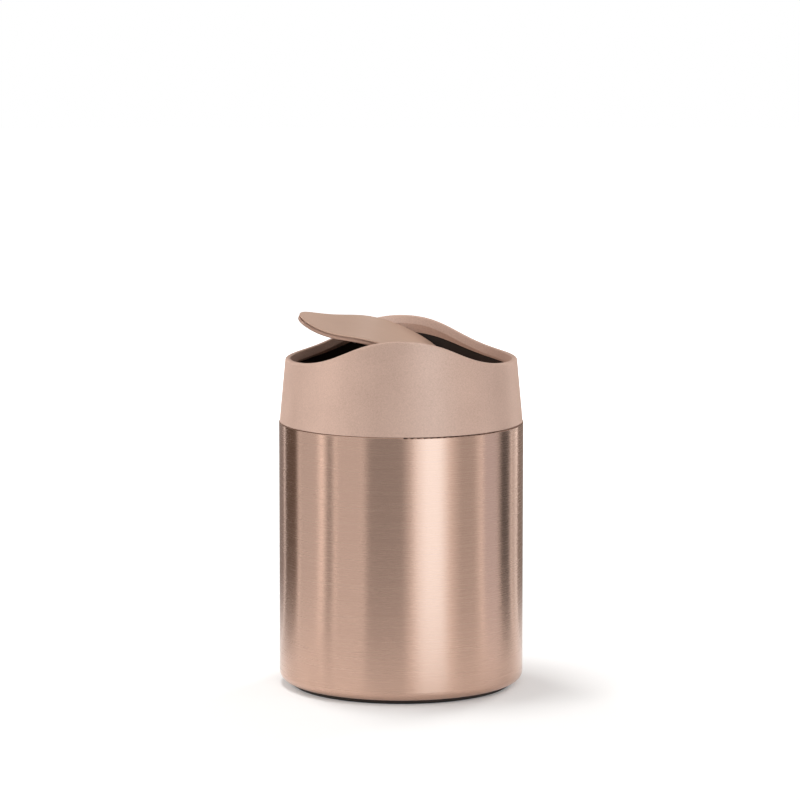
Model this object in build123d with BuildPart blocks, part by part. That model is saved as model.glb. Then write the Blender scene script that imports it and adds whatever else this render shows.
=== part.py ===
from build123d import *
import math
import os

# A countertop bin: a brushed steel body, a painted collar that lifts off, and a lid plate
# that swings on two pins set across the collar. Millimetres. The origin is the middle of
# the base on the table, +Z is up, +X is the side of the lid that is pushed down, and the
# lid's axis runs along Y. The lid is drawn pushed down by lid_tilt.

os.makedirs("parts", exist_ok=True)

# ---- clearances ----
fit_gap = 0.1  # between fixed pieces that nest
slip_gap = 0.3  # between pieces that lift or swing past each other
running_gap = 0.05  # radial, pin in bush
screw_tip_gap = 1.0  # past a screw's tip in its boss
body_clear = 2.0  # cutting shapes reach this far past the body
edge_match = 0.1  # an edge this near a radius lies on it

# ---- steel body ----
body_radius = 61.6
body_top = 134.0
body_bottom = 2.2
sheet = 0.6
hem_depth = 5.0
bottom_radius = 4.5
flange_reach = 14.0  # how far the bottom flange turns in from the body's outside

# ---- base ----
foot_width = 5.5
foot_height = 1.5
foot_proud = 0.8
foot_edge = 1.5  # of the base ring, outside the foot ring
ring_recess = 5.0  # from the body's outside to the base ring's edge
ring_width = 21.0
ring_edge_round = 0.4
pan_floor = 2.0
pan_wall = 1.6
pan_rim_height = 8.0
pan_boss_height = 5.0
base_screw_inset = 6.0  # from the flange's bore to the screws' circle
base_screw_count = 4
base_screw_shank = 1.2
base_screw_head = 2.6
base_screw_head_height = 1.0
base_screw_length = 6.5
boss_wall = 2.6

# ---- inner bucket ----
bucket_wall = 1.5
bucket_floor = 1.8
bucket_mouth_gap = 0.8  # between the bucket's flange and the mouth that it lifts through
bucket_flange_width = 1.6
bucket_flange_height = 1.4
bucket_corner = 6.0

# ---- collar ----
seam_gap = 0.1
collar_wall = 1.5
collar_edge_round = 0.2
collar_set_in = 0.35  # the collar's foot stands this far inside the body's outside
rim_over_pivot = 8.6
rim_fall = 15.0  # from the rim's crest to its low sides
rim_reach_short = 3.0  # the fall ends this far inside the body's radius
crown_over_rim = 0.9  # the collar's outline ends this far above the rim
collar_lean = (1.9, 3.8, 4.5)  # how far the outline leans in at its two handles and at its end
handle_share = (0.371, 0.707)  # the handles' heights as shares of the outline's
lip_reach = 7.1  # from the body's outside in to the lip's bore
lip_round = 1.2
lip_slope_width = 1.3
lip_slope_height = 4.2
lip_crest_round = 0.8
lip_depth_low = 4.9

# ---- carrier inside the collar ----
carrier_step = 0.3  # the carrier's bore is this much wider than the lip's
carrier_wall = 1.4
carrier_flange = 2.4
spigot_depth = 8.0
spigot_wall = 4.9
grip_height = 1.6
grip_depth = 0.7
grip_proud = 0.1
collar_screw_inset = 2.6  # from the spigot's outside to the screws' circle
collar_screw_count = 4
collar_screw_shank = 0.8
collar_screw_head = 1.5
collar_screw_head_height = 1.2
collar_boss_radius = 1.9
collar_boss_height = 11.0

# ---- pivot ----
pivot_over_body = 38.5
pin_radius = 1.25
pin_grip = 10.7  # length of pin inside the lid's hub
bush_wall = 1.3
bush_flange_radius = 3.0
bush_flange = 0.8
lid_end_gap = 0.6

# ---- lid ----
lid_edge_gap = 1.6  # between the lid and the lip's bore
lid_tilt = 24.1  # degrees, as drawn
lid_swing = 60.0  # degrees each way from level
lid_crest = 3.1  # height of the skin's top above the pivot axis
lid_tip = -6.3
lid_wave_over = 0.5  # the wave runs this far past the lid's edge
skin = 0.6
skin_round = 0.4
lid_seam = 0.7
seam_inset = 0.8
skirt_height = 1.6
skirt_wall = 1.6
skirt_round = 0.5
frame_plate = 1.4
rib_width = 1.4
rib_inset = 19.3  # from the lid's edge to the ribs
hub_width = 6.4
hub_length = 12.0
hub_depth = 3.2
lid_screw_x = 24.0
lid_screw_y = 22.0
lid_screw_shank = 0.8
lid_screw_head = 1.9
lid_screw_head_height = 1.0
peg_radius = 2.0
peg_length = 3.0
well_wall = 1.3
well_floor = 1.2
weight_width = 9.0
weight_height = 5.0
weight_length = 56.0
weight_drop = 3.6  # top of the weight below the pivot axis
weight_screw_y = 20.0
weight_screw_shank = 1.2
weight_screw_head = 2.2
weight_screw_head_height = 1.3
post_radius = 3.0
weight_corner = 2.0
weight_screw_grip = 3.8

# ---- screws ----
screw_socket = 0.5  # hexagon's radius as a share of the head's
first_screw_angle = 45.0  # of a ring of screws, from +X

# ---- stops below the pivots ----
stop_top = 7.0  # below the pivot axis
stop_bottom = 13.0
stop_depth = 3.4
stop_cap_wall = 0.9
stop_root_gap = 0.4  # short of the round wall, which curves in beside the post

# ---- sizes that follow ----
mouth_radius = body_radius - 2 * sheet
flange_bore = body_radius - flange_reach
ring_outer = body_radius - ring_recess
ring_bore = ring_outer - ring_width
foot_outer = ring_outer - foot_edge
foot_inner = foot_outer - foot_width
base_screw_circle = flange_bore - base_screw_inset
bucket_flange_radius = mouth_radius - bucket_mouth_gap
bucket_top_radius = bucket_flange_radius - bucket_flange_width
pivot_height = body_top + pivot_over_body
rim_crest = pivot_height + rim_over_pivot
rim_low = rim_crest - rim_fall
rim_reach = body_radius - rim_reach_short
crown_height = rim_crest + crown_over_rim
lip_bore = body_radius - lip_reach
carrier_bore = lip_bore + carrier_step
lid_radius = lip_bore - lid_edge_gap
pin_inner_end = lid_radius - seam_inset - pin_grip
rib_spot = lid_radius - rib_inset
spigot_radius = mouth_radius - slip_gap
collar_bottom = body_top + seam_gap
outline_radii = [body_radius - lean for lean in (collar_set_in, *collar_lean)]
outline_heights = [
    collar_bottom + share * (crown_height - collar_bottom) for share in (0, *handle_share, 1)
]
collar_screw_circle = spigot_radius - collar_screw_inset
carrier_outer = carrier_bore + carrier_wall
flange_top = collar_bottom + carrier_flange
spigot_bottom = body_top - spigot_depth
wave_floor = spigot_bottom - spigot_depth  # waves are drawn down to here, under the spigot
wave_half_width = body_radius + body_clear
bucket_top = spigot_bottom - slip_gap
bush_radius = pin_radius + running_gap + bush_wall
carrier_low = rim_low - lip_depth_low
ring_bottom = foot_proud
pan_bottom = body_bottom + sheet
pan_radius = body_radius - bottom_radius - fit_gap
boss_top = pan_bottom + pan_floor + pan_boss_height
bucket_bottom = boss_top + fit_gap
bucket_base_radius = pan_radius - pan_wall - slip_gap
bush_face = lid_radius + lid_end_gap
stop_face = carrier_bore - stop_depth
stop_root = carrier_bore - stop_root_gap
grip_bottom = body_top - (hem_depth + grip_height) / 2
lid_reach = lid_radius + lid_wave_over  # half width of the lid's wave
lid_under = skin + lid_seam + skirt_height  # skin's top down to the skirt's bottom

rim_handles = (0.45, 0.48)  # as shares of rim_reach, at the crest and at the low end
lid_handles = (0.53, 0.47)


def wave_points(reach, crest, low, handles):
    """Half of the wave: the four control points from the crest to the low end."""
    return (
        (0, crest),
        (handles[0] * reach, crest),
        (reach - handles[1] * reach, low),
        (reach, low),
    )


def wave_height(x, reach, crest, low, handles):
    """Height of the wave at x, found by halving."""
    start, lift, fall, end = wave_points(reach, crest, low, handles)
    low_t, high_t = 0.0, 1.0
    for _ in range(40):
        t = (low_t + high_t) / 2
        at_x = 3 * lift[0] * t * (1 - t) ** 2 + 3 * fall[0] * (1 - t) * t**2 + end[0] * t**3
        if at_x < abs(x):
            low_t = t
        else:
            high_t = t
    ease = (1 - t) ** 3 + 3 * t * (1 - t) ** 2
    return low + (crest - low) * ease


def wave_face(reach, crest, low, handles, half_width, floor):
    """Face under a wave that is symmetric about x = 0, down to the height floor."""
    right = wave_points(reach, crest, low, handles)
    left = [(-x, z) for x, z in right]
    with BuildSketch() as face:
        with BuildLine():
            Bezier(*right)
            Bezier(*left)
            if half_width > reach:
                Line((reach, low), (half_width, low))
                Line((-reach, low), (-half_width, low))
            Line((half_width, low), (half_width, floor))
            Line((half_width, floor), (-half_width, floor))
            Line((-half_width, floor), (-half_width, low))
        make_face()
    return face.sketch


def rim_wave(offset=0.0):
    return wave_face(
        rim_reach, rim_crest + offset, rim_low + offset, rim_handles, wave_half_width, wave_floor
    )


def carrier_wave(offset=0.0):
    return wave_face(
        rim_reach,
        pivot_height + offset,
        carrier_low + offset,
        rim_handles,
        wave_half_width,
        wave_floor,
    )


def lid_wave(offset, floor):
    return wave_face(lid_reach, lid_crest + offset, lid_tip + offset, lid_handles, lid_reach, floor)


def lid_height(x):
    return wave_height(x, lid_reach, lid_crest, lid_tip, lid_handles)


def outline_radius(z):
    """Outer radius of the collar at the height z."""
    low_t, high_t = 0.0, 1.0
    for _ in range(40):
        t = (low_t + high_t) / 2
        shares = ((1 - t) ** 3, 3 * t * (1 - t) ** 2, 3 * t * t * (1 - t), t**3)
        if sum(s * h for s, h in zip(shares, outline_heights)) < z:
            low_t = t
        else:
            high_t = t
    return sum(s * r for s, r in zip(shares, outline_radii))


def collar_section(inset, bore):
    """Half section of the collar: from the bore out to its outline, moved in by inset."""
    outline = [(radius - inset, height) for radius, height in zip(outline_radii, outline_heights)]
    with BuildSketch() as section:
        with BuildLine():
            Bezier(*outline)
            Polyline(outline[-1], (bore, crown_height), (bore, collar_bottom), outline[0])
        make_face()
    return section.sketch


def ring_spots(circle_radius, count):
    """Points spaced evenly round the Z axis."""
    turns = [math.radians(first_screw_angle + i * 360 / count) for i in range(count)]
    return [(circle_radius * math.cos(turn), circle_radius * math.sin(turn)) for turn in turns]


def save(piece, name):
    piece.part.label = name
    export_step(piece.part, f"parts/{name}.step")


# ---- steel shell: one sheet with a folded hem at the mouth and a flange under the floor ----
with BuildPart() as steel_shell:
    with BuildSketch(Plane.XZ):
        with BuildLine():
            corner_x = body_radius - bottom_radius
            corner_z = body_bottom + bottom_radius
            inner_wall = body_radius - sheet
            Line((flange_bore, body_bottom), (corner_x, body_bottom))
            CenterArc((corner_x, corner_z), bottom_radius, -90, 90)
            Line((body_radius, corner_z), (body_radius, body_top - sheet))
            CenterArc((inner_wall, body_top - sheet), sheet, 0, 180)
            Line((mouth_radius, body_top - sheet), (mouth_radius, body_top - hem_depth))
            Line((mouth_radius, body_top - hem_depth), (inner_wall, body_top - hem_depth))
            Line((inner_wall, body_top - hem_depth), (inner_wall, corner_z))
            CenterArc((corner_x, corner_z), bottom_radius - sheet, 0, -90)
            Line((corner_x, pan_bottom), (flange_bore, pan_bottom))
            Line((flange_bore, pan_bottom), (flange_bore, body_bottom))
        make_face()
    revolve(axis=Axis.Z)
save(steel_shell, "steel_shell")

# ---- floor pan: clamps the flange from inside and centres the bucket ----
base_screw_spots = ring_spots(base_screw_circle, base_screw_count)
with BuildPart() as floor_pan:
    with BuildSketch(Plane.XY.offset(pan_bottom)):
        Circle(pan_radius)
    extrude(amount=pan_floor)
    with BuildSketch(Plane.XY.offset(pan_bottom + pan_floor)):
        Circle(pan_radius)
        Circle(pan_radius - pan_wall, mode=Mode.SUBTRACT)
    extrude(amount=pan_rim_height)
    with BuildSketch(Plane.XY.offset(pan_bottom + pan_floor)):
        with Locations(*base_screw_spots):
            Circle(base_screw_shank + boss_wall)
    extrude(amount=pan_boss_height)
    with BuildSketch(Plane.XY.offset(pan_bottom)):
        with Locations(*base_screw_spots):
            Circle(base_screw_shank)
    extrude(amount=base_screw_length, mode=Mode.SUBTRACT)
save(floor_pan, "floor_pan")

# ---- base ring: clamps the flange from below, holds the foot ring ----
head_seat = ring_bottom + base_screw_head_height + fit_gap
with BuildPart() as base_ring:
    with BuildSketch(Plane.XY.offset(ring_bottom)):
        Circle(ring_outer)
        Circle(ring_bore, mode=Mode.SUBTRACT)
    extrude(amount=body_bottom - ring_bottom)
    with BuildSketch(Plane.XY.offset(body_bottom)):
        Circle(flange_bore - slip_gap)
        Circle(ring_bore, mode=Mode.SUBTRACT)
    extrude(amount=pan_bottom - body_bottom)
    with BuildSketch(Plane.XY.offset(ring_bottom)):
        Circle(foot_outer + fit_gap)
        Circle(foot_inner - fit_gap, mode=Mode.SUBTRACT)
    extrude(amount=foot_height - foot_proud, mode=Mode.SUBTRACT)
    with BuildSketch(Plane.XY.offset(ring_bottom)):
        with Locations(*base_screw_spots):
            Circle(base_screw_head + fit_gap)
    extrude(amount=head_seat - ring_bottom, mode=Mode.SUBTRACT)
    with BuildSketch(Plane.XY.offset(head_seat)):
        with Locations(*base_screw_spots):
            Circle(base_screw_shank + fit_gap)
    extrude(amount=pan_bottom - head_seat, mode=Mode.SUBTRACT)
    ring_edges = base_ring.edges().filter_by(GeomType.CIRCLE).group_by(Axis.Z)[0]
    fillet(ring_edges.sort_by(SortBy.RADIUS)[-1], ring_edge_round)
save(base_ring, "base_ring")

# ---- foot ring: the rubber ring that the bin stands on ----
with BuildPart() as foot_ring:
    with BuildSketch():
        Circle(foot_outer)
        Circle(foot_inner, mode=Mode.SUBTRACT)
    extrude(amount=foot_height)
save(foot_ring, "foot_ring")

# ---- base screws ----
with BuildPart() as base_screws:
    with BuildSketch(Plane.XY.offset(head_seat - base_screw_head_height)):
        with Locations(*base_screw_spots):
            Circle(base_screw_head)
    extrude(amount=base_screw_head_height)
    with BuildSketch(Plane.XY.offset(head_seat - base_screw_head_height)):
        with Locations(*base_screw_spots):
            RegularPolygon(screw_socket * base_screw_head, 6)
    extrude(amount=base_screw_head_height / 2, mode=Mode.SUBTRACT)
    with BuildSketch(Plane.XY.offset(head_seat)):
        with Locations(*base_screw_spots):
            Circle(base_screw_shank)
    extrude(amount=pan_bottom + base_screw_length - head_seat - fit_gap)
save(base_screws, "base_screws")

# ---- inner bucket: stands on the floor pan and lifts out ----
with BuildPart() as inner_bucket:
    with BuildSketch(Plane.XZ):
        with BuildLine():
            Polyline(
                (0, bucket_bottom),
                (bucket_base_radius, bucket_bottom),
                (bucket_top_radius, bucket_top - bucket_flange_height),
                (bucket_flange_radius, bucket_top - bucket_flange_height),
                (bucket_flange_radius, bucket_top),
                (bucket_top_radius - bucket_wall, bucket_top),
                (bucket_base_radius - bucket_wall, bucket_bottom + bucket_floor),
                (0, bucket_bottom + bucket_floor),
                (0, bucket_bottom),
            )
        bucket_face = make_face()
        low_corners = bucket_face.vertices().sort_by(Axis.Y)[:4]
        floor_corners = low_corners.filter_by(lambda v: v.X > bucket_corner).sort_by(Axis.Y)
        fillet(floor_corners[0], bucket_corner)
        fillet(floor_corners[-1], bucket_corner - bucket_wall)
    revolve(axis=Axis.Z)
save(inner_bucket, "inner_bucket")

# ---- collar shell: the painted shell with the wavy rim and the sloped lip inside it ----
collar_screw_spots = ring_spots(collar_screw_circle, collar_screw_count)
rim_middle = (lip_bore + outline_radius(rim_crest)) / 2  # between the rim's two edges
with BuildPart() as collar_cavity:
    with BuildSketch(Plane.XZ):
        add(collar_section(collar_wall, 0))
    revolve(axis=Axis.Z)
    with BuildSketch(Plane.XZ):
        add(carrier_wave())
    extrude(amount=wave_half_width, both=True, mode=Mode.INTERSECT)
with BuildPart() as collar_shell:
    with BuildSketch(Plane.XZ):
        add(collar_section(0, lip_bore))
    revolve(axis=Axis.Z)
    with BuildSketch(Plane.XZ):
        add(rim_wave())
    extrude(amount=wave_half_width, both=True, mode=Mode.INTERSECT)
    rim_edges = collar_shell.edges().filter_by(lambda e: e.center().Z > rim_low and e.length > body_radius)
    outer_edges = rim_edges.filter_by(lambda e: abs(e.center().Y) > rim_middle)
    fillet(outer_edges, lip_round)
    rim_edges = collar_shell.edges().filter_by(lambda e: e.center().Z > rim_low and e.length > body_radius)
    bore_edges = rim_edges.filter_by(lambda e: abs(abs(e.center().Y) - lip_bore) < edge_match)
    bore_face = collar_shell.faces().filter_by(GeomType.CYLINDER)[0]
    chamfer(bore_edges, lip_slope_height, lip_slope_width, reference=bore_face)
    slope_edges = collar_shell.edges().filter_by(
        lambda e: e.length > body_radius
        and e.center().Z > rim_low
        and abs(abs(e.center().Y) - lip_bore - lip_slope_width) < edge_match
    )
    fillet(slope_edges, lip_crest_round)
    base_edge = collar_shell.edges().group_by(Axis.Z)[0].sort_by(SortBy.RADIUS)[-1]
    fillet(base_edge, collar_edge_round)
    add(collar_cavity.part, mode=Mode.SUBTRACT)
    with BuildSketch(Plane.XY.offset(flange_top)):
        with Locations(*collar_screw_spots):
            Circle(collar_boss_radius)
    extrude(amount=collar_boss_height)
    with BuildSketch(Plane.XY.offset(flange_top)):
        with Locations(*collar_screw_spots):
            Circle(collar_screw_shank)
    extrude(amount=collar_boss_height - collar_wall, mode=Mode.SUBTRACT)
    with BuildSketch(Plane.XZ):
        with Locations((0, pivot_height)):
            Circle(bush_radius + fit_gap)
    extrude(amount=carrier_outer + fit_gap, both=True, mode=Mode.SUBTRACT)
save(collar_shell, "collar_shell")

# ---- collar carrier: spigot that plugs into the mouth, pivot saddles, stop posts ----
spigot_bore = spigot_radius - spigot_wall
underside_angle = math.degrees(math.atan2(lid_under - lid_height(stop_bottom), stop_bottom))
stop_angle = 90 - lid_swing - underside_angle  # side of the capped post, from straight down
flange_radius = outline_radius(flange_top) - collar_wall - fit_gap


def stop_profile(skin_over):
    """Wedge below the pivot, grown by skin_over; the cap's sides end slip_gap short of the lid."""
    lean = math.radians(stop_angle)
    inset = (slip_gap + stop_cap_wall - skin_over) / math.cos(lean)
    top = stop_top - skin_over
    bottom = stop_bottom + skin_over
    top_half = top * math.tan(lean) - inset
    bottom_half = bottom * math.tan(lean) - inset
    with BuildSketch() as profile:
        with BuildLine():
            Polyline(
                (-top_half, pivot_height - top),
                (top_half, pivot_height - top),
                (bottom_half, pivot_height - bottom),
                (-bottom_half, pivot_height - bottom),
                close=True,
            )
        make_face()
    return profile.sketch


def across(near, far, side):
    """Plane to extrude from by far - near, so that it fills near to far on one side of Y = 0."""
    return Plane.XZ.offset(near if side > 0 else -far)


sides = {"front": 1, "rear": -1}
with BuildPart() as collar_carrier:
    with BuildSketch(Plane.XZ):
        with BuildLine():
            Polyline(
                (spigot_bore, spigot_bottom),
                (spigot_radius, spigot_bottom),
                (spigot_radius, collar_bottom),
                (flange_radius, collar_bottom),
                (flange_radius, flange_top),
                (carrier_outer, flange_top),
                (carrier_outer, pivot_height),
                (carrier_bore, pivot_height),
                (carrier_bore, collar_bottom),
                close=True,
            )
        make_face()
    revolve(axis=Axis.Z)
    with BuildSketch(Plane.XZ):
        add(carrier_wave(-fit_gap))
    extrude(amount=wave_half_width, both=True, mode=Mode.INTERSECT)
    for side in sides.values():
        with BuildSketch(across(stop_face + stop_cap_wall + fit_gap, carrier_outer - fit_gap, side)):
            add(stop_profile(0))
        extrude(amount=carrier_outer - stop_face - stop_cap_wall - 2 * fit_gap)
    with BuildSketch(Plane.XZ):
        with Locations((0, pivot_height)):
            Circle(bush_radius + fit_gap)
    extrude(amount=body_radius, both=True, mode=Mode.SUBTRACT)
    with BuildSketch(Plane.XY.offset(flange_top)):
        with Locations(*collar_screw_spots):
            Circle(collar_boss_radius + fit_gap)
    extrude(amount=collar_boss_height + fit_gap, mode=Mode.SUBTRACT)
    with BuildSketch(Plane.XY.offset(spigot_bottom)):
        with Locations(*collar_screw_spots):
            Circle(collar_screw_head + fit_gap)
    extrude(amount=collar_bottom - spigot_bottom, mode=Mode.SUBTRACT)
    with BuildSketch(Plane.XY.offset(collar_bottom)):
        with Locations(*collar_screw_spots):
            Circle(collar_screw_shank + fit_gap)
    extrude(amount=carrier_flange, mode=Mode.SUBTRACT)
    with BuildSketch(Plane.XY.offset(grip_bottom)):
        Circle(spigot_radius + body_clear)
        Circle(spigot_radius - grip_depth, mode=Mode.SUBTRACT)
    extrude(amount=grip_height, mode=Mode.SUBTRACT)
save(collar_carrier, "collar_carrier")

# ---- grip ring: soft ring in the spigot's groove ----
with BuildPart() as grip_ring:
    with BuildSketch(Plane.XY.offset(grip_bottom)):
        Circle(spigot_radius + grip_proud)
        Circle(spigot_radius - grip_depth, mode=Mode.SUBTRACT)
    extrude(amount=grip_height)
save(grip_ring, "grip_ring")

# ---- collar screws: up through the spigot into the collar shell's bosses ----
with BuildPart() as collar_screws:
    with BuildSketch(Plane.XY.offset(collar_bottom - collar_screw_head_height)):
        with Locations(*collar_screw_spots):
            Circle(collar_screw_head)
    extrude(amount=collar_screw_head_height)
    with BuildSketch(Plane.XY.offset(collar_bottom - collar_screw_head_height)):
        with Locations(*collar_screw_spots):
            RegularPolygon(screw_socket * collar_screw_head, 6)
    extrude(amount=collar_screw_head_height / 2, mode=Mode.SUBTRACT)
    with BuildSketch(Plane.XY.offset(collar_bottom)):
        with Locations(*collar_screw_spots):
            Circle(collar_screw_shank)
    extrude(amount=carrier_flange + collar_boss_height - collar_wall - screw_tip_gap)
save(collar_screws, "collar_screws")

# ---- lid planes: level with the lid, through the pivot axis ----
tilt = math.radians(lid_tilt)
lid_x = (math.cos(tilt), 0, -math.sin(tilt))
lid_plan = Plane(origin=(0, 0, pivot_height), x_dir=lid_x, z_dir=(math.sin(tilt), 0, math.cos(tilt)))
lid_side = Plane(origin=(0, 0, pivot_height), x_dir=lid_x, z_dir=(0, -1, 0))
lid_depth = 30.0  # more than the lid reaches above or below its pivot


def lid_across(near, far, side):
    return lid_side.offset(near if side > 0 else -far)


def lid_band(plan, over, under):
    """Solid between two depths below the skin's top wave, inside the plan sketch."""
    with BuildPart() as band:
        with BuildSketch(lid_side.offset(-lid_reach)):
            add(lid_wave(-over, -lid_depth))
            add(lid_wave(-under, -lid_depth), mode=Mode.SUBTRACT)
        extrude(amount=2 * lid_reach)
        with BuildSketch(lid_plan.offset(-lid_depth)):
            add(plan)
        extrude(amount=2 * lid_depth, mode=Mode.INTERSECT)
    return band.part


def lid_columns(spots, radius, low, over):
    """Round columns from the height low up to the depth over below the skin's top wave."""
    with BuildPart() as columns:
        with BuildSketch(lid_plan.offset(low)):
            with Locations(*spots):
                Circle(radius)
        extrude(amount=lid_depth)
        with BuildSketch(lid_side):
            add(lid_wave(-over, -lid_depth))
        extrude(amount=lid_radius, both=True, mode=Mode.INTERSECT)
    return columns.part


with BuildSketch() as skin_plan:
    Circle(lid_radius)
with BuildSketch() as plate_plan:
    Circle(lid_radius - seam_inset)
with BuildSketch() as skirt_plan:
    Circle(lid_radius - fit_gap)
    Circle(lid_radius - fit_gap - skirt_wall, mode=Mode.SUBTRACT)
with BuildSketch() as rib_plan:
    with Locations((0, -rib_spot), (0, rib_spot)):
        Rectangle(2 * lid_radius, rib_width)
    with Locations((-rib_spot, 0), (rib_spot, 0)):
        Rectangle(rib_width, 2 * lid_radius)
    Circle(lid_radius - skirt_wall / 2, mode=Mode.INTERSECT)
lid_screw_spots = [(x, y) for x in (-lid_screw_x, lid_screw_x) for y in (-lid_screw_y, lid_screw_y)]
weight_screw_spots = [(0, -weight_screw_y), (0, weight_screw_y)]
peg_bottom = lid_height(lid_screw_x) - skin - peg_length
well_seat = peg_bottom - fit_gap
well_bottom = well_seat - well_floor

# ---- lid top: the painted skin with its screw pegs ----
with BuildPart() as lid_top:
    add(lid_band(skin_plan.sketch, 0, skin))
    rounds = lid_top.edges().filter_by(lambda e: e.length > 2 * lid_radius)
    fillet(rounds.sort_by(lambda e: lid_plan.to_local_coords(e.center()).Z)[-1], skin_round)
    add(lid_columns(lid_screw_spots, peg_radius, peg_bottom, skin / 2))
    with BuildSketch(lid_plan.offset(peg_bottom)):
        with Locations(*lid_screw_spots):
            Circle(lid_screw_shank)
    extrude(amount=peg_length, mode=Mode.SUBTRACT)
save(lid_top, "lid_top")

# ---- lid frame: plate under the skin, skirt, ribs, pivot hubs, wells and posts ----
with BuildPart() as lid_hubs:
    for side in sides.values():
        with BuildSketch(lid_across(lid_radius - seam_inset - hub_length, lid_radius - seam_inset, side)):
            Circle(hub_depth)
            Rectangle(hub_width, hub_depth, align=(Align.CENTER, Align.MIN))
        extrude(amount=hub_length)
    with BuildSketch(lid_side):
        add(lid_wave(-skin, -lid_depth))
    extrude(amount=lid_radius, both=True, mode=Mode.INTERSECT)
with BuildPart() as lid_skirt:
    add(lid_band(skirt_plan.sketch, skin + lid_seam, lid_under))
    rounds = lid_skirt.edges().filter_by(lambda e: e.length > 2 * lid_radius)
    outer_rounds = rounds.sort_by(lambda e: e.length)[-2:]
    fillet(outer_rounds.sort_by(lambda e: lid_plan.to_local_coords(e.center()).Z)[0], skirt_round)
with BuildPart() as pin_holes:
    for side in sides.values():
        with BuildSketch(lid_across(pin_inner_end, lid_reach, side)):
            Circle(pin_radius)
        extrude(amount=lid_reach - pin_inner_end)
with BuildPart() as lid_frame:
    add(lid_band(plate_plan.sketch, skin, skin + frame_plate))
    add(lid_skirt.part)
    add(lid_band(rib_plan.sketch, skin + lid_seam, lid_under))
    add(lid_hubs.part)
    add(lid_columns(lid_screw_spots, peg_radius + fit_gap + well_wall, well_bottom, skin))
    add(lid_columns(weight_screw_spots, post_radius, -weight_drop, skin))
    with BuildSketch(lid_plan.offset(well_seat)):
        with Locations(*lid_screw_spots):
            Circle(peg_radius + fit_gap)
    extrude(amount=lid_depth, mode=Mode.SUBTRACT)
    with BuildSketch(lid_plan.offset(well_bottom)):
        with Locations(*lid_screw_spots):
            Circle(lid_screw_shank + fit_gap)
    extrude(amount=well_floor, mode=Mode.SUBTRACT)
    with BuildSketch(lid_plan.offset(-weight_drop)):
        with Locations(*weight_screw_spots):
            Circle(weight_screw_shank)
    extrude(amount=weight_screw_grip, mode=Mode.SUBTRACT)
    add(pin_holes.part, mode=Mode.SUBTRACT)
save(lid_frame, "lid_frame")

# ---- lid screws ----
with BuildPart() as lid_screws:
    with BuildSketch(lid_plan.offset(well_bottom - lid_screw_head_height)):
        with Locations(*lid_screw_spots):
            Circle(lid_screw_head)
    extrude(amount=lid_screw_head_height)
    with BuildSketch(lid_plan.offset(well_bottom - lid_screw_head_height)):
        with Locations(*lid_screw_spots):
            RegularPolygon(screw_socket * lid_screw_head, 6)
    extrude(amount=lid_screw_head_height / 2, mode=Mode.SUBTRACT)
    with BuildSketch(lid_plan.offset(well_bottom)):
        with Locations(*lid_screw_spots):
            Circle(lid_screw_shank)
    extrude(amount=peg_bottom + peg_length - fit_gap - well_bottom)
save(lid_screws, "lid_screws")

# ---- weight bar under the crest, and its screws ----
with BuildPart() as lid_weight:
    with BuildSketch(lid_plan.offset(-weight_drop - weight_height)):
        RectangleRounded(weight_width, weight_length, weight_corner)
        with Locations(*weight_screw_spots):
            Circle(weight_screw_shank + fit_gap, mode=Mode.SUBTRACT)
    extrude(amount=weight_height)
save(lid_weight, "lid_weight")

weight_bottom = -weight_drop - weight_height
with BuildPart() as weight_screws:
    with BuildSketch(lid_plan.offset(weight_bottom - weight_screw_head_height)):
        with Locations(*weight_screw_spots):
            Circle(weight_screw_head)
    extrude(amount=weight_screw_head_height)
    with BuildSketch(lid_plan.offset(weight_bottom - weight_screw_head_height)):
        with Locations(*weight_screw_spots):
            RegularPolygon(screw_socket * weight_screw_head, 6)
    extrude(amount=weight_screw_head_height / 2, mode=Mode.SUBTRACT)
    with BuildSketch(lid_plan.offset(weight_bottom)):
        with Locations(*weight_screw_spots):
            Circle(weight_screw_shank)
    extrude(amount=weight_height + weight_screw_grip - fit_gap)
save(weight_screws, "weight_screws")

# ---- pivots and stops, front and rear ----
for place, side in sides.items():
    with BuildPart() as pivot_pin:
        with BuildSketch(across(pin_inner_end, carrier_outer - fit_gap, side)):
            with Locations((0, pivot_height)):
                Circle(pin_radius)
        extrude(amount=carrier_outer - fit_gap - pin_inner_end)
    save(pivot_pin, f"{place}_pivot_pin")

    with BuildPart() as pivot_bush:
        with BuildSketch(across(bush_face, carrier_outer, side)):
            with Locations((0, pivot_height)):
                Circle(bush_radius)
        extrude(amount=carrier_outer - bush_face)
        with BuildSketch(across(bush_face, bush_face + bush_flange, side)):
            with Locations((0, pivot_height)):
                Circle(bush_flange_radius)
        extrude(amount=bush_flange)
        with BuildSketch(Plane.XZ):
            with Locations((0, pivot_height)):
                Circle(pin_radius + running_gap)
        extrude(amount=body_radius, both=True, mode=Mode.SUBTRACT)
    save(pivot_bush, f"{place}_pivot_bush")

    with BuildPart() as stop_cap:
        with BuildSketch(across(stop_face, stop_root, side)):
            add(stop_profile(stop_cap_wall))
        extrude(amount=stop_root - stop_face)
        with BuildSketch(across(stop_face + stop_cap_wall, stop_root, side)):
            add(stop_profile(0))
        extrude(amount=stop_root - stop_face - stop_cap_wall, mode=Mode.SUBTRACT)
    save(stop_cap, f"{place}_stop_cap")
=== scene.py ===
import math

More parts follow.
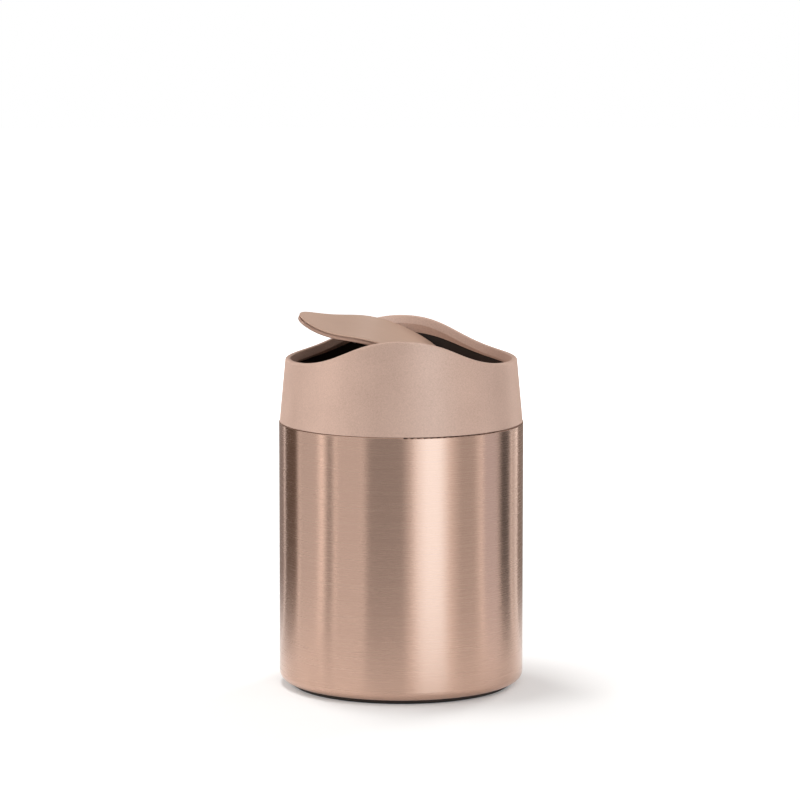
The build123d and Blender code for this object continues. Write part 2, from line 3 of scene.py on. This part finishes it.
import bpy
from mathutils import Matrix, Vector

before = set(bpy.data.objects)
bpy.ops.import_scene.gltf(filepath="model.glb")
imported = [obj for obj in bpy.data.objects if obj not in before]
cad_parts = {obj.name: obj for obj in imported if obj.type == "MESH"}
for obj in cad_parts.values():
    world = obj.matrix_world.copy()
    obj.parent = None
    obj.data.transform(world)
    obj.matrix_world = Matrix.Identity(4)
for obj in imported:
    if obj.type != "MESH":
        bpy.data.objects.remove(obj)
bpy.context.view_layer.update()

mm = 0.001
print("frame loaded:", len(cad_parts), "nodes")


# node helpers
def startMaterial(name):
    material = bpy.data.materials.new(name)
    material.use_nodes = True
    tree = material.node_tree
    shader = tree.nodes["Principled BSDF"]
    place = tree.nodes.new("ShaderNodeTexCoord")
    return material, tree, shader, place


def stretched(tree, place, scale):
    # object coordinates times a scale for each axis
    mapping = tree.nodes.new("ShaderNodeMapping")
    mapping.inputs["Scale"].default_value = scale
    tree.links.new(place.outputs["Object"], mapping.inputs["Vector"])
    return mapping.outputs["Vector"]


def noiseOn(tree, vector, scale, detail, roughness):
    noise = tree.nodes.new("ShaderNodeTexNoise")
    noise.inputs["Scale"].default_value = scale
    noise.inputs["Detail"].default_value = detail
    noise.inputs["Roughness"].default_value = roughness
    tree.links.new(vector, noise.inputs["Vector"])
    return noise.outputs["Fac"]


def rangeOf(tree, value, low, high, fromLow=0.3, fromHigh=0.7):
    # spreads a value over low to high; most of a noise lies from 0.3 to 0.7
    spread = tree.nodes.new("ShaderNodeMapRange")
    spread.inputs["From Min"].default_value = fromLow
    spread.inputs["From Max"].default_value = fromHigh
    spread.inputs["To Min"].default_value = low
    spread.inputs["To Max"].default_value = high
    tree.links.new(value, spread.inputs["Value"])
    return spread.outputs["Result"]


def blendColours(tree, share, first, second):
    mix = tree.nodes.new("ShaderNodeMix")
    mix.data_type = "RGBA"
    colourA, colourB = mix.inputs[6], mix.inputs[7]
    colourA.default_value = (*first, 1)
    colourB.default_value = (*second, 1)
    tree.links.new(share, mix.inputs["Factor"])
    return mix.outputs[2]


def worked(tree, operation, first, second):
    # a sum on two values; the second may be a plain number
    step = tree.nodes.new("ShaderNodeMath")
    step.operation = operation
    tree.links.new(first, step.inputs[0])
    if isinstance(second, float):
        step.inputs[1].default_value = second
    else:
        tree.links.new(second, step.inputs[1])
    return step.outputs[0]


def mixedNoise(tree, first, firstShare, second):
    # two noises in one, the second making up the rest
    firstPart = worked(tree, "MULTIPLY", first, firstShare)
    secondPart = worked(tree, "MULTIPLY", second, 1 - firstShare)
    return worked(tree, "ADD", firstPart, secondPart)


def bumpFrom(tree, shader, height, distance):
    bump = tree.nodes.new("ShaderNodeBump")
    bump.inputs["Strength"].default_value = 1.0
    bump.inputs["Distance"].default_value = distance
    tree.links.new(height, bump.inputs["Height"])
    tree.links.new(bump.outputs["Normal"], shader.inputs["Normal"])


# steel brushed round the body
brushedSteel = {
    "colour": (0.66, 0.440, 0.345),
    "darkLine": (0.62, 0.408, 0.316),
    "roughness": (0.22, 0.30),
    "anisotropy": 0.92,
    "turn": 0.25,  # a quarter, so highlights run across the lines
    "lineScale": (26, 26, 5200),  # long round the body, thin up it
    "streakScale": (9, 9, 900),
    "lineShare": 0.6,  # the streaks make up the rest
    "lineDepth": 0.006 * mm,
}


def makeBrushedSteel(name, look):
    material, tree, shader, place = startMaterial(name)
    lines = noiseOn(tree, stretched(tree, place, look["lineScale"]), scale=1.0, detail=3.0, roughness=0.65)
    streaks = noiseOn(tree, stretched(tree, place, look["streakScale"]), scale=1.0, detail=3.0, roughness=0.6)
    both = mixedNoise(tree, lines, look["lineShare"], streaks)
    colour = blendColours(tree, rangeOf(tree, both, 0, 1), look["darkLine"], look["colour"])
    tree.links.new(colour, shader.inputs["Base Color"])
    tree.links.new(rangeOf(tree, both, *look["roughness"]), shader.inputs["Roughness"])
    shader.inputs["Metallic"].default_value = 1.0
    shader.inputs["Anisotropic"].default_value = look["anisotropy"]
    shader.inputs["Anisotropic Rotation"].default_value = look["turn"]
    tangent = tree.nodes.new("ShaderNodeTangent")
    tangent.direction_type = "RADIAL"
    tangent.axis = "Z"
    tree.links.new(tangent.outputs["Tangent"], shader.inputs["Tangent"])
    bumpFrom(tree, shader, lines, look["lineDepth"])
    return material


# satin pearl paint on the collar, and darker copies of it for the lid, as painted shade
pearlPaint = {
    "deep": (0.51, 0.349, 0.281),
    "light": (0.69, 0.488, 0.401),
    "fleckScale": 1500,
    "cloudScale": 60,
    "fleckShare": 0.75,  # the clouds make up the rest
    "contrast": (0.25, 0.75),  # noise values that give the deep and the light colour
    "roughness": (0.36, 0.46),
    "specular": 0.12,
    "metallic": 0.32,
    "grainDepth": 0.02 * mm,
    "grainScale": 1500,
}
# the lid's top skin: the same paint, darker and warmer; the darkness is painted shade over its lit top, the
# warmth a warmer tone
lidShadedPaint = {
    **pearlPaint,
    "deep": (0.49, 0.330, 0.252),
    "light": (0.57, 0.391, 0.303),
    "specular": 0.05,
}
# the lid's frame: the same paint, much darker, as painted shade on its skirt and in the seam under the top
# skin
frameShadedPaint = {
    **pearlPaint,
    "deep": (0.34, 0.215, 0.165),
    "light": (0.42, 0.270, 0.210),
}


def makePearlPaint(name, look):
    material, tree, shader, place = startMaterial(name)
    at = place.outputs["Object"]
    flecks = noiseOn(tree, at, look["fleckScale"], detail=2.0, roughness=0.7)
    clouds = noiseOn(tree, at, look["cloudScale"], detail=3.0, roughness=0.5)
    both = mixedNoise(tree, flecks, look["fleckShare"], clouds)
    colour = blendColours(tree, rangeOf(tree, both, 0, 1, *look["contrast"]), look["deep"], look["light"])
    tree.links.new(colour, shader.inputs["Base Color"])
    tree.links.new(rangeOf(tree, flecks, *look["roughness"]), shader.inputs["Roughness"])
    shader.inputs["Metallic"].default_value = look["metallic"]
    shader.inputs["Specular IOR Level"].default_value = look["specular"]
    grain = noiseOn(tree, at, look["grainScale"], detail=2.0, roughness=0.5)
    bumpFrom(tree, shader, grain, look["grainDepth"])
    return material


# moulded plastics and rubbers, with a fine spark-eroded grain and broad patches of wear
wearScale = 90
mouldedLooks = {
    "blackPlastic": {
        "colour": (0.021, 0.011, 0.007),
        "dark": (0.015, 0.008, 0.005),
        "roughness": (0.55, 0.70),
        "grainScale": 1400,
        "grainDepth": 0.03 * mm,
    },
    "bucketPlastic": {
        "colour": (0.036, 0.034, 0.033),
        "dark": (0.026, 0.025, 0.024),
        "roughness": (0.32, 0.46),
        "grainScale": 1100,
        "grainDepth": 0.03 * mm,
    },
    "footRubber": {
        "colour": (0.020, 0.020, 0.021),
        "dark": (0.014, 0.014, 0.015),
        "roughness": (0.70, 0.85),
        "grainScale": 1800,
        "grainDepth": 0.05 * mm,
    },
    "gripRubber": {
        "colour": (0.050, 0.046, 0.044),
        "dark": (0.036, 0.033, 0.032),
        "roughness": (0.60, 0.75),
        "grainScale": 1800,
        "grainDepth": 0.04 * mm,
    },
    "nylon": {
        "colour": (0.42, 0.40, 0.37),
        "dark": (0.36, 0.34, 0.31),
        "roughness": (0.38, 0.50),
        "grainScale": 1300,
        "grainDepth": 0.03 * mm,
    },
}


def makeMoulded(name, look):
    material, tree, shader, place = startMaterial(name)
    at = place.outputs["Object"]
    grain = noiseOn(tree, at, look["grainScale"], detail=3.0, roughness=0.6)
    wear = noiseOn(tree, at, wearScale, detail=3.0, roughness=0.5)
    colour = blendColours(tree, rangeOf(tree, wear, 0, 1), look["dark"], look["colour"])
    tree.links.new(colour, shader.inputs["Base Color"])
    tree.links.new(rangeOf(tree, grain, *look["roughness"]), shader.inputs["Roughness"])
    bumpFrom(tree, shader, grain, look["grainDepth"])
    return material


# small turned or drawn metal, with fine tool marks
markDepth = 0.01 * mm
turnedLooks = {
    "pinSteel": {
        "colour": (0.62, 0.60, 0.58),
        "dark": (0.50, 0.48, 0.46),
        "roughness": (0.18, 0.30),
        "lineScale": (90, 2600, 90),  # the pins lie along Y and are marked round
    },
    "screwSteel": {
        "colour": (0.52, 0.51, 0.50),
        "dark": (0.40, 0.39, 0.38),
        "roughness": (0.28, 0.42),
        "lineScale": (1500, 1500, 1500),
    },
    "weightSteel": {
        "colour": (0.34, 0.335, 0.33),
        "dark": (0.25, 0.245, 0.24),
        "roughness": (0.40, 0.55),
        "lineScale": (900, 120, 900),
    },
}


def makeTurnedMetal(name, look):
    material, tree, shader, place = startMaterial(name)
    marks = noiseOn(tree, stretched(tree, place, look["lineScale"]), scale=1.0, detail=3.0, roughness=0.6)
    colour = blendColours(tree, rangeOf(tree, marks, 0, 1), look["dark"], look["colour"])
    tree.links.new(colour, shader.inputs["Base Color"])
    tree.links.new(rangeOf(tree, marks, *look["roughness"]), shader.inputs["Roughness"])
    shader.inputs["Metallic"].default_value = 1.0
    bumpFrom(tree, shader, marks, markDepth)
    return material


moulded = {name: makeMoulded(name, look) for name, look in mouldedLooks.items()}
turned = {name: makeTurnedMetal(name, look) for name, look in turnedLooks.items()}

finishes = {
    "steel_shell": makeBrushedSteel("brushedRoseSteel", brushedSteel),
    "floor_pan": moulded["blackPlastic"],
    "base_ring": moulded["blackPlastic"],
    "foot_ring": moulded["footRubber"],
    "base_screws": turned["screwSteel"],
    "inner_bucket": moulded["bucketPlastic"],
    "collar_shell": makePearlPaint("pearlPaint", pearlPaint),
    "collar_carrier": moulded["blackPlastic"],
    "grip_ring": moulded["gripRubber"],
    "collar_screws": turned["screwSteel"],
    "lid_top": makePearlPaint("lidShadedPaint", lidShadedPaint),
    "lid_frame": makePearlPaint("frameShadedPaint", frameShadedPaint),
    "lid_screws": turned["screwSteel"],
    "lid_weight": turned["weightSteel"],
    "weight_screws": turned["screwSteel"],
    "front_pivot_pin": turned["pinSteel"],
    "rear_pivot_pin": turned["pinSteel"],
    "front_pivot_bush": moulded["nylon"],
    "rear_pivot_bush": moulded["nylon"],
    "front_stop_cap": moulded["gripRubber"],
    "rear_stop_cap": moulded["gripRubber"],
}
for name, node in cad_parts.items():
    node.data.materials.clear()
    node.data.materials.append(finishes[name])
print("finishes given to", len(finishes), "nodes")


def link(thing):
    bpy.context.scene.collection.objects.link(thing)
    return thing


# lamps: where they hang, where they point, their size, and how bright their face is
lampColour = (1.0, 0.985, 0.97)
lamps = {
    "topLeft": {"place": (-0.17, 0.05, 1.15), "target": (0, 0, 0.06), "size": (0.26, 0.26), "face": 25.0},
    "sideLeft": {"place": (-1.30, -0.42, 0.28), "target": (0, 0, 0.12), "size": (0.6, 0.3), "face": 15.5},
    "fillFront": {"place": (0.35, -1.25, 1.15), "target": (0, 0, 0.14), "size": (0.7, 0.5), "face": 4.4},
    "fillRight": {"place": (1.40, -0.60, 0.08), "target": (0, 0, 0.12), "size": (0.6, 0.3), "face": 15.0},
    "rimLeft": {"place": (-0.80, 1.15, 0.40), "target": (0, 0, 0.15), "size": (0.5, 0.4), "face": 19.0},
    "rimRight": {"place": (0.80, 1.15, 0.40), "target": (0, 0, 0.15), "size": (0.5, 0.4), "face": 23.0},
}


def makeLamp(name, look):
    lamp = bpy.data.lights.new(name, "AREA")
    lamp.shape = "RECTANGLE"
    lamp.size, lamp.size_y = look["size"]
    lamp.energy = look["face"] * math.pi * lamp.size * lamp.size_y
    lamp.color = lampColour
    post = link(bpy.data.objects.new(name, lamp))
    towards = Vector(look["target"]) - Vector(look["place"])
    post.location = look["place"]
    post.rotation_euler = towards.to_track_quat("-Z", "Y").to_euler()
    post.visible_camera = False
    post.visible_glossy = False


# cards round the bin that only its reflections show: the azimuths they span, counted from the
# camera's side towards +X, how far their two ends fade, and how bright they are
cardShape = {
    "distance": 0.30,
    "height": 0.60,
    "apronReach": 0.08,  # each card runs on along the floor to here, fading out
    "lift": 1 * mm,  # its foot stands this far above the floor
    "bends": 6,
}
cards = {
    "edgeGreyLeft": {"span": (-180, -133), "fade": (5, 5), "glow": (0.31, 0.27, 0.25)},
    "edgeDarkLeft": {"span": (-133, -104), "fade": (5, 6), "glow": (0.15, 0.12, 0.10)},
    "farLeft": {"span": (-104, -76), "fade": (6, 6), "glow": (0.72, 0.72, 0.72)},
    "sideDipLeft": {"span": (-69, -60), "fade": (6, 6), "glow": (0.36, 0.36, 0.36)},
    "sideTanLeft": {"span": (-60, -32), "fade": (6, 7), "glow": (0.77, 0.77, 0.77)},
    "frontDark": {"span": (-31, 7), "fade": (7, 12), "glow": (0.38, 0.38, 0.38)},
    "frontWhite": {"span": (14.5, 37.5), "fade": (14, 9), "glow": (1.60, 1.86, 2.04)},
    "frontGreyRight": {"span": (46, 71), "fade": (12, 10), "glow": (0.56, 0.55, 0.54)},
    "sideGreyRight": {"span": (71, 95), "fade": (10, 6), "glow": (0.71, 0.72, 0.77)},
    "sideDarkRight": {"span": (96, 115), "fade": (8, 6), "glow": (0.11, 0.11, 0.11)},
    "edgeTanRight": {"span": (115, 127), "fade": (6, 8), "glow": (0.66, 0.66, 0.64)},
    "edgeGreyRight": {"span": (127, 180), "fade": (8, 5), "glow": (0.30, 0.26, 0.23)},
}


def cardTurns(look):
    # the azimuths of a card's columns; its first and last columns are the faded ends
    start, end = look["span"]
    fadeIn, fadeOut = look["fade"]
    first, last = start + fadeIn / 2, end - fadeOut / 2
    bends = cardShape["bends"]
    between = [first + (last - first) * i / bends for i in range(bends + 1)]
    return [start - fadeIn / 2, *between, end + fadeOut / 2]


def makeCardMesh(name, look):
    # each column is the apron's tip, the card's foot and its top; "cover" is how much of it shows
    turns = cardTurns(look)
    corners = []
    shown = []
    for i, turn in enumerate(turns):
        across, along = math.sin(math.radians(turn)), -math.cos(math.radians(turn))
        whole = 0.0 if i in (0, len(turns) - 1) else 1.0
        column = (
            (cardShape["apronReach"], cardShape["lift"], 0.0),
            (cardShape["distance"], cardShape["lift"], whole),
            (cardShape["distance"], cardShape["height"], whole),
        )
        for distance, height, share in column:
            corners.append((distance * across, distance * along, height))
            shown.append(share)
    sides = []
    for i in range(len(turns) - 1):
        for corner in (3 * i, 3 * i + 1):
            sides.append((corner, corner + 3, corner + 4, corner + 1))
    mesh = bpy.data.meshes.new(name)
    mesh.from_pydata(corners, [], sides)
    cover = mesh.attributes.new("cover", "FLOAT", "POINT")
    cover.data.foreach_set("value", shown)
    return mesh


def makeCardGlow(name, colour):
    material = bpy.data.materials.new(name)
    material.use_nodes = True
    tree = material.node_tree
    tree.nodes.remove(tree.nodes["Principled BSDF"])
    glow = tree.nodes.new("ShaderNodeEmission")
    glow.inputs["Color"].default_value = (*colour, 1)
    clear = tree.nodes.new("ShaderNodeBsdfTransparent")
    share = tree.nodes.new("ShaderNodeAttribute")
    share.attribute_name = "cover"
    mix = tree.nodes.new("ShaderNodeMixShader")
    tree.links.new(share.outputs["Fac"], mix.inputs["Fac"])
    tree.links.new(clear.outputs["BSDF"], mix.inputs[1])
    tree.links.new(glow.outputs["Emission"], mix.inputs[2])
    tree.links.new(mix.outputs["Shader"], tree.nodes["Material Output"].inputs["Surface"])
    return material


def makeCard(name, look):
    mesh = makeCardMesh(name, look)
    mesh.materials.append(makeCardGlow(name, look["glow"]))
    card = link(bpy.data.objects.new(name, mesh))
    card.visible_camera = False
    card.visible_diffuse = False
    card.visible_shadow = False


def seenDirectly(tree):
    # 1 for the camera, mirrors and glass, 0 for the light that falls on things
    path = tree.nodes.new("ShaderNodeLightPath")
    share = path.outputs["Is Camera Ray"]
    for name in ("Is Glossy Ray", "Is Transmission Ray"):
        share = worked(tree, "MAXIMUM", share, path.outputs[name])
    return share


# the floor glows a little where the camera or a reflection sees it, more with distance from the bin: painted
# light that washes out the bin's shadow away from it, leaving painted shade on the floor beside the bin
floorPaper = {
    "reach": 4.0,
    "colour": (0.80, 0.80, 0.80),
    "shade": 0.995,  # of the colour, in the paper's grain
    "grainScale": 40,
    "roughness": 0.9,
    "specular": 0.1,
    "glow": (0.16, 0.80),  # beside the bin and away from it
    "glowDistance": (0.10, 2.0),  # from the bin's middle
}


def makeFloor(look):
    reach = look["reach"]
    mesh = bpy.data.meshes.new("studioFloor")
    corners = [(x * reach, y * reach, 0) for x, y in ((-1, -1), (1, -1), (1, 1), (-1, 1))]
    mesh.from_pydata(corners, [], [(0, 1, 2, 3)])
    floor = link(bpy.data.objects.new("studioFloor", mesh))
    material, tree, shader, place = startMaterial("floorPaper")
    at = place.outputs["Object"]
    grain = noiseOn(tree, at, look["grainScale"], detail=2.0, roughness=0.5)
    shade = [value * look["shade"] for value in look["colour"]]
    colour = blendColours(tree, rangeOf(tree, grain, 0, 1), shade, look["colour"])
    tree.links.new(colour, shader.inputs["Base Color"])
    shader.inputs["Roughness"].default_value = look["roughness"]
    shader.inputs["Specular IOR Level"].default_value = look["specular"]
    shader.inputs["Emission Color"].default_value = (1, 1, 1, 1)
    away = tree.nodes.new("ShaderNodeVectorMath")
    away.operation = "LENGTH"
    tree.links.new(at, away.inputs[0])
    # painted light and shade: the glow rises from beside the bin outwards
    glow = rangeOf(tree, away.outputs["Value"], *look["glow"], *look["glowDistance"])
    shownGlow = worked(tree, "MULTIPLY", glow, seenDirectly(tree))
    tree.links.new(shownGlow, shader.inputs["Emission Strength"])
    mesh.materials.append(material)


ambientLight = (0.33, 0.326, 0.322)


def makeWorld():
    world = bpy.data.worlds.new("studioAir")
    bpy.context.scene.world = world
    world.use_nodes = True
    tree = world.node_tree
    lit = tree.nodes["Background"]
    lit.inputs["Color"].default_value = (*ambientLight, 1)
    shown = tree.nodes.new("ShaderNodeBackground")
    shown.inputs["Color"].default_value = (1, 1, 1, 1)
    mix = tree.nodes.new("ShaderNodeMixShader")
    tree.links.new(seenDirectly(tree), mix.inputs["Fac"])
    tree.links.new(lit.outputs["Background"], mix.inputs[1])
    tree.links.new(shown.outputs["Background"], mix.inputs[2])
    tree.links.new(mix.outputs["Shader"], tree.nodes["World Output"].inputs["Surface"])


for name, lamp in lamps.items():
    makeLamp(name, lamp)
for name, card in cards.items():
    makeCard(name, card)
makeFloor(floorPaper)
makeWorld()
print("studio lit with", len(lamps), "lamps and", len(cards), "cards")

cameraAt = {
    "place": (0.0, -2.0, 0.4216),
    "pitch": 7.893,  # degrees down
    "turn": 0.017,
    "lens": 180.35,
    "sensor": 36,
    "clip": (0.05, 20),
}


def makeCamera(look):
    lens = bpy.data.cameras.new("camera")
    lens.lens = look["lens"]
    lens.sensor_width = look["sensor"]
    lens.clip_start, lens.clip_end = look["clip"]
    camera = link(bpy.data.objects.new("camera", lens))
    camera.location = look["place"]
    camera.rotation_euler = (math.radians(90 - look["pitch"]), 0, math.radians(look["turn"]))
    bpy.context.scene.camera = camera


makeCamera(cameraAt)
bpy.context.scene.view_settings.view_transform = "Standard"
print("camera set")
